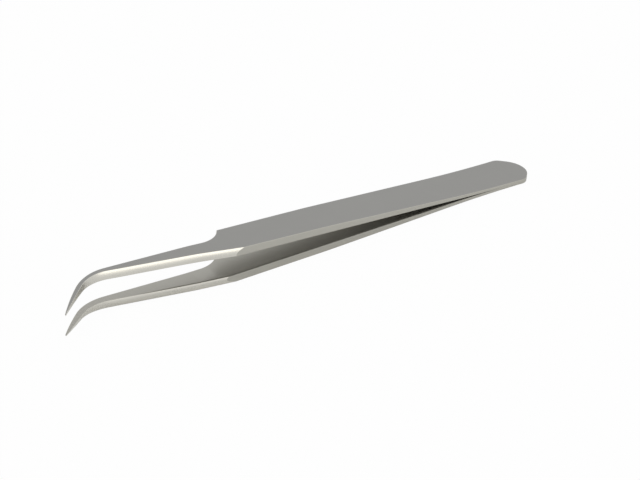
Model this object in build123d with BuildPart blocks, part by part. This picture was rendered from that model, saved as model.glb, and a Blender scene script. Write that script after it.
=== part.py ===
# Bent precision tweezers: two mirror-image blades of stainless spring steel, welded face to face at
# the tail. The arms spring apart from the weld, run side by side past a bend at the shoulder, and
# end in fine points that are bent sideways. The tweezers lie as they come to rest on a table, on the
# lower blade's handle and tail, with the tips lifted.

from build123d import *
from math import atan2, cos, radians, sin, tan
import os

os.makedirs("parts", exist_ok=True)

# Plan sizes in millimetres. Distances along a blade start at the tips and run towards the tail,
# and distances across it start at the handle's centre line, with the back of the bend as plus.
length = 115.0
arm_length = 40.5
tail_width = 10.3
shoulder_width = 8.6
tail_nose_radius = 5.0
tail_corner_radius = 2.2

# The ground arm: its step at the back of the shoulder, its width, the draft of its sides, and how
# far ahead of the shoulder each blade's front edge is first ground away.
step_angle = 65.0
step_radius = 5.0
arm_back_at_shoulder = 1.18
arm_back_at_bend = 2.19
arm_width_at_bend = 1.96
side_draft = 10.5
upper_scoop_ahead = 0.4
lower_scoop_ahead = 2.3

# The sideways bend and the point.
bend_from_tip = 13.5
back_bend_radius = 10.8
back_bend_angle = 45.4
front_bend_radius = 8.4
front_bend_angle = 49.8
tip_drop = 7.05
tip_width = 0.32

# Side sizes: the gap between the arms and each blade's own thickness, from the weld to the point.
# The knee and the waist are measured from the shoulder, ahead of it and behind it.
weld_length = 8.0
spring_length = 15.0
spring_thickness = 0.62
knee_ahead = 9.0
knee_gap = 4.38
knee_thickness = 1.73
knee_radius = 60.0
waist_behind = 21.0
waist_thickness = 1.53
belly_from_tip = 6.5
belly_gap = 4.77
nose_from_tip = 13.0
nose_thickness = 1.69
tip_gap = 4.15
tip_thickness = 0.21
tail_thickness = 0.43
edge_radius = 0.15

# Stations along the blade and the handle's taper. The blades bow apart in front of the weld, and the
# spring corner is where the straight handle would meet the mid plane without that bow.
shoulder = arm_length
knee = shoulder - knee_ahead
waist = shoulder + waist_behind
weld_front = length - weld_length
spring_corner = weld_front - spring_length / 2
spring_front = weld_front - spring_length
handle_slope = (tail_width - shoulder_width) / 2 / (length - shoulder)


def half_width(x):
    return shoulder_width / 2 + (x - shoulder) * handle_slope


def gap_inside(x):
    """Height of the inner face over the mid plane, along the straight stretches."""
    if x > knee:
        return max(knee_gap / 2 * (spring_corner - x) / (spring_corner - knee), 0)
    rise = (belly_gap - knee_gap) / 2
    return knee_gap / 2 + rise * (knee - x) / (knee - belly_from_tip)


# The resting pose: the lower blade touches the table with the end of its tail and, further forward,
# with its knee or its waist, whichever sticks out more.
knee_outside = knee_gap / 2 + knee_thickness
waist_outside = gap_inside(waist) + waist_thickness
rest_points = ((knee, knee_outside), (waist, waist_outside))
rest_tilt = max(atan2(z - tail_thickness, length - x) for x, z in rest_points)
tip_outside = tip_gap / 2 + tip_thickness
span = length * cos(rest_tilt) + (tail_thickness - tip_outside) * sin(rest_tilt)
front_reach = tip_drop + tip_width / 2
back_reach = tail_width / 2
mid_plane = Plane(
    origin=(
        -span / 2,
        (front_reach - back_reach) / 2,
        length * sin(rest_tilt) + tail_thickness * cos(rest_tilt),
    ),
    x_dir=(cos(rest_tilt), 0, -sin(rest_tilt)),
    z_dir=(sin(rest_tilt), 0, cos(rest_tilt)),
)
side_plane = Plane(origin=mid_plane.origin, x_dir=mid_plane.x_dir, z_dir=-mid_plane.y_dir)

# How far the blanks and the grinding waste reach past the finished blade.
overrun = 4.0
strip_reach = tip_drop + tail_width
full_height = 2 * knee_outside


def grinding_direction(side):
    """Up the drafted side of the arm, leaning back (1) or towards the front (-1)."""
    return mid_plane.z_dir + mid_plane.y_dir * side * tan(radians(side_draft))


def grinding_plane(side):
    """Where a cut starts in the mid plane, to be true to its outline at the arms' inner faces."""
    start = mid_plane.origin + mid_plane.z_dir * knee_gap / 2
    start -= grinding_direction(side) * knee_gap / 2
    return Plane(origin=start, x_dir=mid_plane.x_dir, z_dir=mid_plane.z_dir)


def is_handle_rim(edge):
    """True for the edges round the handle's outer face, but not for those across it."""
    start, middle, end = (mid_plane.to_local_coords(edge @ place) for place in (0, 0.5, 1))
    along = abs(start.X - end.X) > edge_radius and abs(start.Z - end.Z) < edge.length / 2
    over_inside = middle.Z > gap_inside(middle.X) + tail_thickness / 2
    return along and middle.X > shoulder and over_inside


# The strip both blades are made of: a side view with the blade's thickness, trimmed to the
# handle's outline, and its back ground away from the step at the shoulder to the point.
with BuildPart() as strip:
    with BuildSketch(side_plane) as side_view:
        with BuildLine():
            weld_face = Line((length, 0), (weld_front, 0))
            handle_inside = Line((spring_front, gap_inside(spring_front)), (knee, knee_gap / 2))
            Bezier(weld_face @ 1, (spring_corner, 0), handle_inside @ 0)
            arm_inside = Line(handle_inside @ 1, (belly_from_tip, belly_gap / 2))
            tip_inside = TangentArc(arm_inside @ 1, (0, tip_gap / 2), tangent=arm_inside % 1)
            tip_end = Line(tip_inside @ 1, (0, tip_outside))
            nose = (nose_from_tip, gap_inside(nose_from_tip) + nose_thickness)
            arm_outside = Line((knee, knee_outside), nose)
            TangentArc(nose, tip_end @ 1, tangent=arm_outside % 1)
            bow = Vector(spring_corner, spring_thickness)
            to_waist = Vector(waist, waist_outside) - bow
            to_tail = Vector(length, tail_thickness) - bow
            bow_front = bow + to_waist * (bow.X - spring_front) / (bow.X - waist)
            bow_back = bow + to_tail * (weld_front - bow.X) / (length - bow.X)
            Polyline(arm_outside @ 0, bow + to_waist, bow_front)
            Bezier(bow_front, bow, bow_back)
            Polyline(bow_back, bow + to_tail, weld_face @ 0)
        make_face()
        knees = side_view.vertices().filter_by(lambda v: abs(v.X - knee) < 0.01)
        fillet(knees, radius=knee_radius)
    extrude(amount=strip_reach, both=True)

    with BuildSketch(mid_plane) as outline:
        with BuildLine():
            nose_center = length - tail_nose_radius
            nose_end = tail_nose_radius * sin(radians(45))
            corner_x = nose_center + 2 * nose_end - back_reach
            Polyline(
                (nose_center + nose_end, -nose_end),
                (corner_x, -back_reach),
                (0, -half_width(0)),
                (0, half_width(0)),
                (corner_x, back_reach),
                (nose_center + nose_end, nose_end),
            )
            CenterArc((nose_center, 0), tail_nose_radius, -45, 90)
        make_face()
        corners = outline.vertices().filter_by(lambda v: abs(v.X - corner_x) < 0.01)
        fillet(corners, radius=tail_corner_radius)
        with Locations((0, -strip_reach)):
            Rectangle(knee, strip_reach, align=(Align.MIN, Align.MIN))
    extrude(amount=full_height, mode=Mode.INTERSECT)

    with BuildSketch(grinding_plane(-1)):
        with BuildLine():
            slope = (arm_back_at_bend - arm_back_at_shoulder) / (shoulder - bend_from_tip)
            corner = Vector(shoulder, half_width(shoulder))
            down_step = Vector(-cos(radians(step_angle)), -sin(radians(step_angle)))
            drop = corner.Y - arm_back_at_shoulder
            foot_run = drop / (sin(radians(step_angle)) + slope * cos(radians(step_angle)))
            foot = corner + down_step * foot_run
            step_top = corner - down_step * overrun
            bend_start = (bend_from_tip, arm_back_at_bend)
            edge = FilletPolyline(step_top, foot, bend_start, radius=step_radius)
            bend = JernArc(edge @ 1, edge % 1, back_bend_radius, back_bend_angle)
            point = TangentArc(bend @ 1, (0, tip_width / 2 - tip_drop), tangent=bend % 1)
            Polyline(
                point @ 1,
                point @ 1 + (point % 1) * overrun,
                (-overrun * 2, back_reach + overrun),
                step_top,
            )
        make_face()
    extrude(amount=full_height, dir=grinding_direction(-1), mode=Mode.SUBTRACT)


def front_waste(scoop_ahead):
    """Outline of what is ground off the front, from the scoop in the handle to the point."""
    with BuildSketch(grinding_plane(1)) as waste:
        with BuildLine():
            bend_start = Vector(bend_from_tip, arm_back_at_bend - arm_width_at_bend)
            scoop_x = shoulder - scoop_ahead
            scoop = Vector(scoop_x, -half_width(scoop_x))
            scoop_start = scoop + (scoop - bend_start).normalized() * overrun * 2
            edge = Line(scoop_start, bend_start)
            bend = JernArc(edge @ 1, edge % 1, front_bend_radius, front_bend_angle)
            point = TangentArc(bend @ 1, (0, -tip_width / 2 - tip_drop), tangent=bend % 1)
            Polyline(
                point @ 1,
                point @ 1 + (point % 1) * overrun,
                (-overrun, -2 * strip_reach),
                (scoop_start.X, -2 * strip_reach),
                scoop_start,
            )
        make_face()
    return waste.sketch


upper_waste = front_waste(upper_scoop_ahead)
lower_waste = front_waste(lower_scoop_ahead)

# The upper blade: the strip with its front ground away and the handle's outer rim rounded.
with BuildPart() as upper_blade:
    add(strip.part)
    extrude(upper_waste, amount=full_height, dir=grinding_direction(1), mode=Mode.SUBTRACT)
    fillet(upper_blade.edges().filter_by(is_handle_rim), radius=edge_radius)

# The lower blade is the upper one's mirror image, face to face with it along the weld, but for the
# front of its arm, which is ground from a little nearer the tips.
with BuildPart() as lower_blade:
    add(strip.part)
    extrude(lower_waste, amount=full_height, dir=grinding_direction(1), mode=Mode.SUBTRACT)
    fillet(lower_blade.edges().filter_by(is_handle_rim), radius=edge_radius)
    mirror(about=mid_plane, mode=Mode.REPLACE)

upper_blade.part.label = "upper_blade"
lower_blade.part.label = "lower_blade"
for blade in (upper_blade, lower_blade):
    export_step(blade.part, f"parts/{blade.part.label}.step")
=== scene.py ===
import bmesh
import bpy
from math import atan2, cos, pi, radians, sin, sqrt, tan
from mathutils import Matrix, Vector


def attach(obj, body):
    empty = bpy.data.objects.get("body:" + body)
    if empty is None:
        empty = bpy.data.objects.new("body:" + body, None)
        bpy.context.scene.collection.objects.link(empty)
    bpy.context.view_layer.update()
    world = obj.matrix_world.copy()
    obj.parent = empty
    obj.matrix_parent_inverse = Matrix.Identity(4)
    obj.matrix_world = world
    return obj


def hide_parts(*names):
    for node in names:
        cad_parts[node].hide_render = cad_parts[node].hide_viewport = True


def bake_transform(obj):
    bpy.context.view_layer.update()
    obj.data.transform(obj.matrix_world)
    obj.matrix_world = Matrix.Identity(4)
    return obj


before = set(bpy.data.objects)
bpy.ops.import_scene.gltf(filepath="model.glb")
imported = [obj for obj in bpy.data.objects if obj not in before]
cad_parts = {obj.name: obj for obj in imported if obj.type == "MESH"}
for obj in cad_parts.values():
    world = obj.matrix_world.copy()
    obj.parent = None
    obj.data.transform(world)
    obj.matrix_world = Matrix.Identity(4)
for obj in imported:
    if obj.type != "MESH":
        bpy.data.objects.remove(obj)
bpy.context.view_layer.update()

# The strip. Both blades start as the same strip of stainless spring steel, thin at the tail and at
# the point and thickest over the knee, bowed away from the weld. Sizes are in millimetres, with x
# from the tips to the tail, y plus at the back of the bend, and z up from the weld's plane.
metre = 1000
length, shoulder = 115.0, 40.25
weld_length, spring_length, spring_thickness = 8.0, 15.0, 0.62
knee_ahead, knee_gap, knee_thickness, knee_reach = 8.75, 4.38, 1.73, 0.8
waist_behind, waist_thickness = 21.25, 1.53
belly_from_tip, belly_gap = 6.5, 4.77
nose_from_tip, nose_thickness = 13.0, 1.69
tip_gap, tip_thickness, tail_thickness = 4.15, 0.21, 0.43
knee = shoulder - knee_ahead
waist = shoulder + waist_behind
weld_front = length - weld_length
spring_corner = weld_front - spring_length / 2


def straight_gap(x):
    """Half the gap between the blades, before the bends in the strip are eased."""
    if x > knee:
        return max(knee_gap / 2 * (spring_corner - x) / (spring_corner - knee), 0)
    return (knee_gap + (belly_gap - knee_gap) * (knee - x) / (knee - belly_from_tip)) / 2


def bent_strip(corners, tip):
    """Height along x of a line through (x, z, reach) corners, each eased over its reach, that
    curves from the first corner to the tip without a bend."""
    slopes = [(b[1] - a[1]) / (b[0] - a[0]) for a, b in zip(corners, corners[1:])]
    first_x, first_z = corners[0][:2]
    curve = (tip - first_z + slopes[0] * first_x) / first_x ** 2

    def height(x):
        if x < first_x:
            return first_z + slopes[0] * (x - first_x) + curve * (x - first_x) ** 2
        z = first_z + slopes[0] * (x - first_x)
        for (corner_x, _, reach), before, after in zip(corners[1:], slopes, slopes[1:]):
            past = x - corner_x
            if past >= reach:
                z += (after - before) * past
            elif past > -reach:
                z += (after - before) * (past + reach) ** 2 / (4 * reach)
        return z

    return height


knee_outside = knee_gap / 2 + knee_thickness
waist_outside = straight_gap(waist) + waist_thickness
tip_outside = tip_gap / 2 + tip_thickness
inner_face = bent_strip(
    [(belly_from_tip, belly_gap / 2, 0), (knee, knee_gap / 2, knee_reach),
     (spring_corner, 0, spring_length / 2), (length, 0, 0)], tip_gap / 2)
outer_face = bent_strip(
    [(nose_from_tip, straight_gap(nose_from_tip) + nose_thickness, 0),
     (knee, knee_outside, knee_reach), (waist, waist_outside, 0),
     (spring_corner, spring_thickness, spring_length / 2), (length, tail_thickness, 0)],
    tip_outside)

# The lie of the tweezers. The lower blade rests on its waist and on the end of its tail, which
# lifts the tips off the table, and the bend of the points lies flat to the front.
tail_width, shoulder_width = 10.3, 8.6
tip_drop, tip_width = 7.05, 0.32
rest_tilt = max(atan2(z - tail_thickness, length - x)
                for x, z in ((knee, knee_outside), (waist, waist_outside)))
span = length * cos(rest_tilt) + (tail_thickness - tip_outside) * sin(rest_tilt)
tips_x, centre_y = -span / 2, (tip_drop + tip_width / 2 - tail_width / 2) / 2
tips_z = length * sin(rest_tilt) + tail_thickness * cos(rest_tilt)


def on_table(x, y, z):
    """A point of the blade's drawing as it lies on the table, in metres."""
    return Vector((tips_x + x * cos(rest_tilt) + z * sin(rest_tilt), centre_y + y,
                   tips_z - x * sin(rest_tilt) + z * cos(rest_tilt))) / metre


# The outline. The handle is sawn out with a slight taper and a rounded tail. Its back steps in at
# the shoulder to the slender arm, and the arm bends to the front and runs out in the point.
tail_nose_radius, tail_corner_radius = 5.0, 2.2
step_angle, step_radius = radians(65.0), 6.2
arm_back_at_shoulder, arm_back_at_bend, arm_width_at_bend = 1.18, 2.19, 1.96
bend_from_tip = 13.5
back_bend_radius, back_bend_angle = 10.8, radians(45.4)
front_bend_radius, front_bend_angle = 8.4, radians(49.8)
bend_steps, point_steps, tail_steps = 16, 18, 6
almost_none, very_large = 1e-6, 1e6
handle_taper = (tail_width - shoulder_width) / 2 / (length - shoulder)
back_slope = (arm_back_at_bend - arm_back_at_shoulder) / (shoulder - bend_from_tip)
arm_front_at_bend = arm_back_at_bend - arm_width_at_bend


def half_width(x):
    """Half the width of the handle."""
    return shoulder_width / 2 + (x - shoulder) * handle_taper


def back_of_arm(x):
    """The arm's back edge and the step up to the shoulder, with the slope of either."""
    step = Vector((cos(step_angle), sin(step_angle)))
    along = Vector((-1, back_slope)).normalized()
    drop = half_width(shoulder) - arm_back_at_shoulder
    foot = Vector((shoulder, half_width(shoulder))) - step * (
        drop / (sin(step_angle) + back_slope * cos(step_angle)))
    half_turn = step.angle(along) / 2
    centre = foot + (step + along).normalized() * step_radius / sin(half_turn)
    reach = step_radius / tan(half_turn)
    if x <= (foot + along * reach).x:
        return arm_back_at_bend - back_slope * (x - bend_from_tip), -back_slope
    if x >= (foot + step * reach).x:
        return half_width(shoulder) + tan(step_angle) * (x - shoulder), tan(step_angle)
    across = x - centre.x
    down = sqrt(step_radius ** 2 - across ** 2)
    return centre.y - down, across / down


def swept(start, heading, radius, turn, count):
    """Points and outward sides along an arc that turns to the left, after its start."""
    centre = start + radius * Vector((-sin(heading), cos(heading)))
    run = []
    for step in range(1, count + 1):
        side = heading + turn * step / count - pi / 2
        run.append((centre + radius * Vector((cos(side), sin(side))), side))
    return run


def point_run(start, slope, radius, turn, tip):
    """One edge of the bend and the point: an arc off the arm's straight edge, and a tangent
    arc from there to the tip, with the side that faces the back of the bend."""
    heading = pi + atan2(slope, 1)
    run = swept(start, heading, radius, turn, bend_steps)
    elbow, side = run[-1]
    chord = tip - elbow
    bow = atan2(chord.y, chord.x) % (2 * pi) - (side + pi / 2)
    last = chord.length / 2 / sin(bow) if abs(bow) > almost_none else very_large
    return run + swept(elbow, side + pi / 2, last, 2 * bow, point_steps)


def tail_run():
    """The back half of the rounded tail's outline, from the handle's edge to its very end."""
    nose_x = length - tail_nose_radius
    facet = tail_nose_radius * sin(pi / 4)
    corner_x = nose_x + 2 * facet - tail_width / 2
    corner = Vector((corner_x - tail_corner_radius * tan(pi / 8),
                     tail_width / 2 - tail_corner_radius))
    run = []
    for step in range(tail_steps + 1):
        side = pi / 2 - pi / 4 * step / tail_steps
        run.append((corner + tail_corner_radius * Vector((cos(side), sin(side))), side))
    for step in range(2 * tail_steps + 1):
        side = pi / 4 - pi / 4 * step / (2 * tail_steps)
        run.append((Vector((nose_x, 0)) + tail_nose_radius * Vector((cos(side), sin(side))), side))
    return run


back_run = point_run(Vector((bend_from_tip, arm_back_at_bend)), -back_slope, back_bend_radius,
                     back_bend_angle, Vector((0, tip_width / 2 - tip_drop)))
tail_outline = tail_run()

# Grinding. The sides of each arm are ground by hand, so they lean in towards its outer face, swell
# a little and run out of the handle's edges at a crease. The outer rim is barely broken, and the
# inner one is bevelled along the front of the handle.
side_lean = tan(radians(10.5))
lean_height = knee_gap / 2
rim_outside, rim_inside, rim_share = 0.05, 0.04, 0.3
bevel_least, bevel_most = (0.04, 0.03), (0.28, 0.09)
bevel_start, bevel_full, weld_fade = 18.0, 27.0, 20.0
crease_ahead, crease_behind, crease_fade, halvings = 8.0, 3.0, 6.0, 40
rim_steps, side_steps = 3, 6
level_count = 2 * rim_steps + side_steps + 1
close_rings_behind, stretch_steps = 6.0, (20, 60, 12, 30, 36)
outer_finish, ground_finish, sawn_finish, inner_finish = range(4)


def side_levels(x, room, way):
    """Inset and height of the points down the back (1) or front (-1) side, from the inner face,
    which is bevelled at the front, to the outer one, each with how far it stands on the crown."""
    low, high = inner_face(x), outer_face(x)
    limit = min((high - low) * rim_share, room * rim_share)
    apart = min(max(weld_front - x, 0) / weld_fade, 1)
    under = min(rim_inside, limit) * apart
    over = min(rim_outside, limit)
    full = min(max((x - bevel_start) / (bevel_full - bevel_start), 0), 1)
    across, down = (min(least + (most - least) * full, limit) * apart
                    for least, most in zip(bevel_least, bevel_most))
    levels = []
    for step in range(rim_steps + 1):
        part = step / rim_steps
        if way < 0:
            levels.append((across * (1 - part), low + down * part, 0))
        else:
            turn = pi / 2 * part
            levels.append((under * (1 - sin(turn)), low + under * (1 - cos(turn)), 0))
    bottom, top = levels[-1][1], high - over
    for step in range(1, side_steps):
        part = step / side_steps
        levels.append((0, bottom + (top - bottom) * part, 4 * part * (1 - part)))
    for step in range(rim_steps + 1):
        turn = pi / 2 * step / rim_steps
        levels.append((over * (1 - cos(turn)), high - over * (1 - sin(turn)), 0))
    return levels


def point_rings(front_run, side_crown):
    """Rings round the point and the bend, from the tip to the straight stretch of the arm. A
    ring goes up the back side and down the front one."""
    rings = []
    for (back, back_side), (front, front_side) in reversed(list(zip(back_run, front_run))):
        ring = []
        room = (back - front).length / 2
        for edge, side, way in ((back, back_side, 1), (front, front_side + pi, -1)):
            fade = min(edge.x / bend_from_tip, 1)
            half = []
            for inset, z, crown in side_levels(edge.x, room, way):
                out = crown * side_crown * fade - inset
                lean = way * side_lean * (z - lean_height)
                half.append((edge.x + out * cos(side), edge.y + out * sin(side) - lean, z))
            ring += half if way > 0 else half[::-1]
        rings.append(ring)
    return rings


def straight_rings(front_slope, side_crown):
    """Rings along the arm and the handle up to the tail, closest together at the creases, and
    whether each ring starts a ground stretch of the back side and of the front one."""

    def edges(x, slot, way):
        """Where the arm's side and the handle's edge would stand at one point, and its height."""
        inset, z, crown = side_levels(x, arm_width_at_bend / 2, way)[slot]
        if way > 0:
            edge, slope = back_of_arm(x)
        else:
            edge, slope = -arm_front_at_bend - front_slope * (x - bend_from_tip), -front_slope
        swell = crown * side_crown - side_lean * (z - lean_height)
        return edge + swell - inset * sqrt(1 + slope ** 2), half_width(x) - inset, z

    def crease(slot, way):
        """Where along the blade the arm's side runs into the handle's edge."""
        near, far = shoulder - crease_ahead, shoulder + crease_behind
        for _ in range(halvings):
            middle = (near + far) / 2
            arm, handle = edges(middle, slot, way)[:2]
            near, far = (middle, far) if arm < handle else (near, middle)
        return near

    creases = {way: [crease(slot, way) for slot in range(level_count)] for way in (1, -1)}
    centres = {way: sum(creases[way]) / level_count for way in (1, -1)}
    stops = (bend_from_tip, shoulder - crease_ahead, centres[-1], centres[1],
             shoulder + close_rings_behind, tail_outline[0][0].x)
    stations = [bend_from_tip]
    for start, end, steps in zip(stops, stops[1:], stretch_steps):
        stations += [start + (end - start) * step / steps for step in range(1, steps + 1)]
    rings, ground = [], []
    for x in stations[:-1]:
        halves = []
        for way in (1, -1):
            pull = max(1 - abs(x - centres[way]) / crease_fade, 0)
            half = []
            for slot, crease_x in enumerate(creases[way]):
                there = x + (crease_x - centres[way]) * pull
                arm, handle, z = edges(there, slot, way)
                half.append((there, way * min(arm, handle), z))
            halves.append(half)
        rings.append(halves[0] + halves[1][::-1])
        ground.append([x < centres[way] - almost_none for way in (1, -1)])
    return rings, ground


def tail_rings():
    """Rings along the rounded tail, each from a point of its back half to the same in front."""
    rings = []
    for edge, side in tail_outline:
        back, front = ([(edge.x - inset * cos(side), way * (edge.y - inset * sin(side)), z)
                        for inset, z, _ in side_levels(edge.x, tail_width, 1)] for way in (1, -1))
        rings.append(back + front[::-1])
    return rings


def finish_between(slot, ground):
    """The finish of the strip of faces from one point of the rings to the next."""
    if slot == level_count - 1:
        return outer_finish
    if slot == 2 * level_count - 1:
        return inner_finish
    if slot >= 2 * level_count - 1 - rim_steps:
        return sawn_finish
    return ground_finish if ground[slot // level_count] else sawn_finish


def ground_blade(name, upward, scoop_ahead, side_crown):
    """A blade's mesh, laid as rings round it from the tips to the tail."""
    scoop_x = shoulder - scoop_ahead
    front_slope = (-half_width(scoop_x) - arm_front_at_bend) / (scoop_x - bend_from_tip)
    front_run = point_run(Vector((bend_from_tip, arm_front_at_bend)), front_slope,
                          front_bend_radius, front_bend_angle,
                          Vector((0, -tip_width / 2 - tip_drop)))
    point, tail = point_rings(front_run, side_crown), tail_rings()
    straight, straight_ground = straight_rings(front_slope, side_crown)
    rings = point + straight + tail
    ground = [(True, True)] * len(point) + straight_ground + [(False, False)] * len(tail)
    points = [on_table(x, y, upward * z) for ring in rings for x, y, z in ring]
    count = 2 * level_count
    faces, finish_of = [tuple(reversed(range(count)))], [ground_finish]
    for row in range(len(rings) - 1):
        for slot in range(count):
            here, ahead = row * count + slot, row * count + (slot + 1) % count
            faces.append((here, ahead, ahead + count, here + count))
            finish_of.append(finish_between(slot, ground[row]))
    mesh = bpy.data.meshes.new(name)
    mesh.from_pydata(points, [], faces)
    mesh.polygons.foreach_set("material_index", finish_of)
    return mesh


# Finishing. The faces run smoothly into each other, but the creases at the shoulder and the edges
# that the grinding and the bevel leave stay crisp.
crease_angle = radians(50)
crisp_between = ({ground_finish, sawn_finish}, {sawn_finish, inner_finish})
merge_within, collapsed = 2e-6, 1e-6
large_faces_lead = 100


def finished(name, mesh, finishes):
    """The blade as an object, its tail closed, its faces outward and its finishes given out."""
    for finish in finishes:
        mesh.materials.append(finish)
    for face in mesh.polygons:
        face.use_smooth = True
    shape = bmesh.new()
    shape.from_mesh(mesh)
    bmesh.ops.remove_doubles(shape, verts=shape.verts, dist=merge_within)
    bmesh.ops.dissolve_degenerate(shape, dist=collapsed, edges=shape.edges)
    bmesh.ops.recalc_face_normals(shape, faces=shape.faces)
    for edge in shape.edges:
        if len(edge.link_faces) == 2:
            kinds = {face.material_index for face in edge.link_faces}
            edge.smooth = kinds not in crisp_between and edge.calc_face_angle() < crease_angle
    shape.to_mesh(mesh)
    shape.free()
    rough = bpy.data.objects.new(name + "_rough", mesh)
    bpy.context.scene.collection.objects.link(rough)
    weigh = rough.modifiers.new("weigh", "WEIGHTED_NORMAL")
    weigh.weight, weigh.keep_sharp = large_faces_lead, True
    bpy.context.view_layer.update()
    ready = rough.evaluated_get(bpy.context.evaluated_depsgraph_get())
    blade = bpy.data.objects.new(name, bpy.data.meshes.new_from_object(ready))
    bpy.context.scene.collection.objects.link(blade)
    bpy.data.objects.remove(rough)
    return blade


# The steel. It is bare and has four finishes: an even satin outside, one brushed along the blade
# inside, and marks across the blade where it is sawn and where the arms are ground. The ground arms
# are painted brighter than bare steel, partly a painted highlight, and the outside darker, a
# painted shade.
cloud_scale = 180.0
fine_wear, broad_wear = 0.14, 0.06


class Value:
    """A value on a surface, with plain arithmetic on it."""

    def __init__(self, tree, socket):
        self.tree, self.socket = tree, socket

    def node(self, kind, settings=None, **inputs):
        """Any other node, with its settings first and the values or links of its sockets, which
        go by name or, where names repeat, by number."""
        made = self.tree.nodes.new("ShaderNode" + kind)
        for key, value in (settings or {}).items():
            setattr(made, key, value)
        for key, value in inputs.items():
            numbered = key.startswith("at")
            socket = made.inputs[int(key[2:]) if numbered else key.replace("_", " ")]
            if isinstance(value, Value):
                self.tree.links.new(value.socket, socket)
            else:
                socket.default_value = value
        return made

    def take(self, kind, settings=None, output=0, **inputs):
        """One output of such a node."""
        return Value(self.tree, self.node(kind, settings, **inputs).outputs[output])

    def math(self, operation, first, second):
        return self.take("Math", {"operation": operation}, at0=first, at1=second)

    def __add__(self, other):
        return self.math("ADD", self, other)

    __radd__ = __add__

    def __mul__(self, other):
        return self.math("MULTIPLY", self, other)

    __rmul__ = __mul__


def steel(name, colour, roughness, grain, depth, cloud):
    """Stainless steel with a grain: noise stretched by the three scales, in marks a millimetre,
    with a relief of some depth in millimetres and a cloud of lighter and darker patches."""
    finish = bpy.data.materials.new(name)
    finish.use_nodes = True
    tree = finish.node_tree
    shader = tree.nodes["Principled BSDF"]
    place = Value(tree, None).take("TexCoord", output="Object")
    marks = place.take("Mapping", Vector=place, Scale=[per_mm * metre for per_mm in grain])
    fine = place.take("TexNoise", output="Fac", Vector=marks, Scale=1.0, Detail=3.0, Roughness=0.6)
    broad = place.take("TexNoise", output="Fac", Vector=place, Scale=cloud_scale, Detail=2.0)
    shade = broad * cloud + (1 - cloud / 2)
    tint = place.take("Mix", {"data_type": "RGBA", "blend_type": "MULTIPLY"}, output=2,
                      at0=1.0, at6=(*colour, 1), at7=shade)
    worn = fine * fine_wear + broad * broad_wear + (roughness - (fine_wear + broad_wear) / 2)
    relief = place.take("Bump", Strength=1.0, Distance=depth / metre, Height=fine)
    for key, value in (("Base Color", tint), ("Roughness", worn), ("Normal", relief)):
        tree.links.new(value.socket, shader.inputs[key])
    shader.inputs["Metallic"].default_value = 1.0
    return finish


# The outside's colour is darker than the steel is: painted shade for dimmer surroundings mirrored
# in it.
satin_outside_and_shade = steel("satin_outside_and_shade", (0.362, 0.359, 0.345), 0.42, (8.0, 8.0, 8.0), 0.0015, 0.08)
# The ground arms' colour is lighter than the steel is: a painted highlight on top of the ground
# finish.
ground_arm_and_highlight = steel("ground_arm_and_highlight", (0.74, 0.725, 0.665), 0.29, (5.0, 0.5, 0.5), 0.0011, 0.06)
sawn_edge = steel("sawn_edge", (0.54, 0.53, 0.480), 0.34, (6.0, 0.6, 0.6), 0.0015, 0.06)
satin_inside = steel("satin_inside", (0.48, 0.47, 0.43), 0.44, (0.6, 6.0, 6.0), 0.0015, 0.08)
finishes = (satin_outside_and_shade, ground_arm_and_highlight, sawn_edge, satin_inside)

# The upper blade. It lies face to face with the lower one along the weld and springs up from it.
upper_blade = finished("upper_blade_ground", ground_blade(
    "upper_blade", upward=1, scoop_ahead=0.6, side_crown=0.09), finishes)
bend_length = 32.0
bend_end = weld_front - bend_length
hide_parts("upper_blade")
on_table(weld_front, 0, 0)
on_table(bend_end, 0, 0)
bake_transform(upper_blade)

# The lower blade. It is the upper one's mirror image, but its front grinding starts nearer the
# tips and its sides swell more. It lies on the table with its waist and the end of its tail.
lower_blade = finished("lower_blade_ground", ground_blade(
    "lower_blade", upward=-1, scoop_ahead=2.3, side_crown=0.21), finishes)
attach(lower_blade, "lower_arm")
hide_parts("lower_blade")

# The table. It is a wide sheet of white card that the camera sees as plain white, while the steel
# mirrors a little of the card's own shade.
reach = 3.0
glow_seen, glow_mirrored = 0.97, 0.1


def lit_tree(holder):
    """The emptied shader of the table or the world, with a value to start from and the masks of
    what the camera sees and of what the steel mirrors."""
    holder.use_nodes = True
    holder.node_tree.nodes.clear()
    start = Value(holder.node_tree, None)
    return (start, start.take("LightPath", output="Is Camera Ray"),
            start.take("LightPath", output="Is Glossy Ray"))


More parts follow.
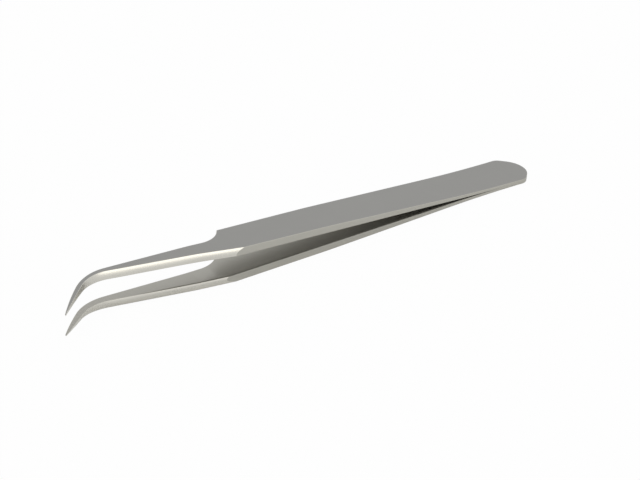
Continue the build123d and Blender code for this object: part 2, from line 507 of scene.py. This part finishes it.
card = bpy.data.meshes.new("table_card")
card.from_pydata([(-reach, -reach, 0), (reach, -reach, 0), (reach, reach, 0), (-reach, reach, 0)],
                 [], [(0, 1, 2, 3)])
table = bpy.data.objects.new("table_card", card)
bpy.context.scene.collection.objects.link(table)
white = bpy.data.materials.new("white_card")
start, seen, mirrored = lit_tree(white)
matt = start.take("BsdfDiffuse", Color=(0.9, 0.9, 0.9, 1))
glow = start.take("Emission", Color=(1, 1, 1, 1), Strength=1.0)
mixed = start.take("MixShader", at0=seen * glow_seen + mirrored * glow_mirrored, at1=matt, at2=glow)
start.node("OutputMaterial", Surface=mixed)
card.materials.append(white)

# The light. The studio is soft white all round, a little brighter where the steel mirrors it, with
# one broad warm lamp low in front that lights the sides of the arms.
world = bpy.data.worlds.new("studio")
bpy.context.scene.world = world
plain_mirrored = 0.2
start, seen, mirrored = lit_tree(world)
sky = start.take("Background", Color=(1, 1, 1, 1), Strength=0.75)
plain = start.take("Background", Color=(1, 1, 1, 1), Strength=1.0)
mixed = start.take("MixShader", at0=seen + mirrored * plain_mirrored, at1=sky, at2=plain)
start.node("OutputWorld", Surface=mixed)

lamp_side, lamp_distance = Vector((0.08, -0.98, 0.25)).normalized(), 0.8
lamp = bpy.data.lights.new("front_lamp", "AREA")
lamp.shape, lamp.size, lamp.size_y = "RECTANGLE", 0.75, 0.35
lamp.energy, lamp.color = 0.85, (1.0, 0.96, 0.88)
front_lamp = bpy.data.objects.new("front_lamp", lamp)
front_lamp.location = lamp_side * lamp_distance
front_lamp.rotation_euler = lamp_side.to_track_quat("Z", "Y").to_euler()
bpy.context.scene.collection.objects.link(front_lamp)

# The camera. It stands level and nearly half a metre off, above and in front of the tips' side,
# with a long lens.
tilt_down, turn_right = 29.454, 35.219
camera = bpy.data.objects.new("camera", bpy.data.cameras.new("camera"))
camera.data.lens, camera.data.sensor_width = 126.74, 36.0
camera.data.clip_start, camera.data.clip_end = 0.01, 20.0
camera.location = (-0.22306, -0.32191, 0.22314)
camera.rotation_euler = (radians(90 - tilt_down), 0, radians(-turn_right))
bpy.context.scene.collection.objects.link(camera)
bpy.context.scene.camera = camera
bpy.context.scene.view_settings.view_transform = "Standard"
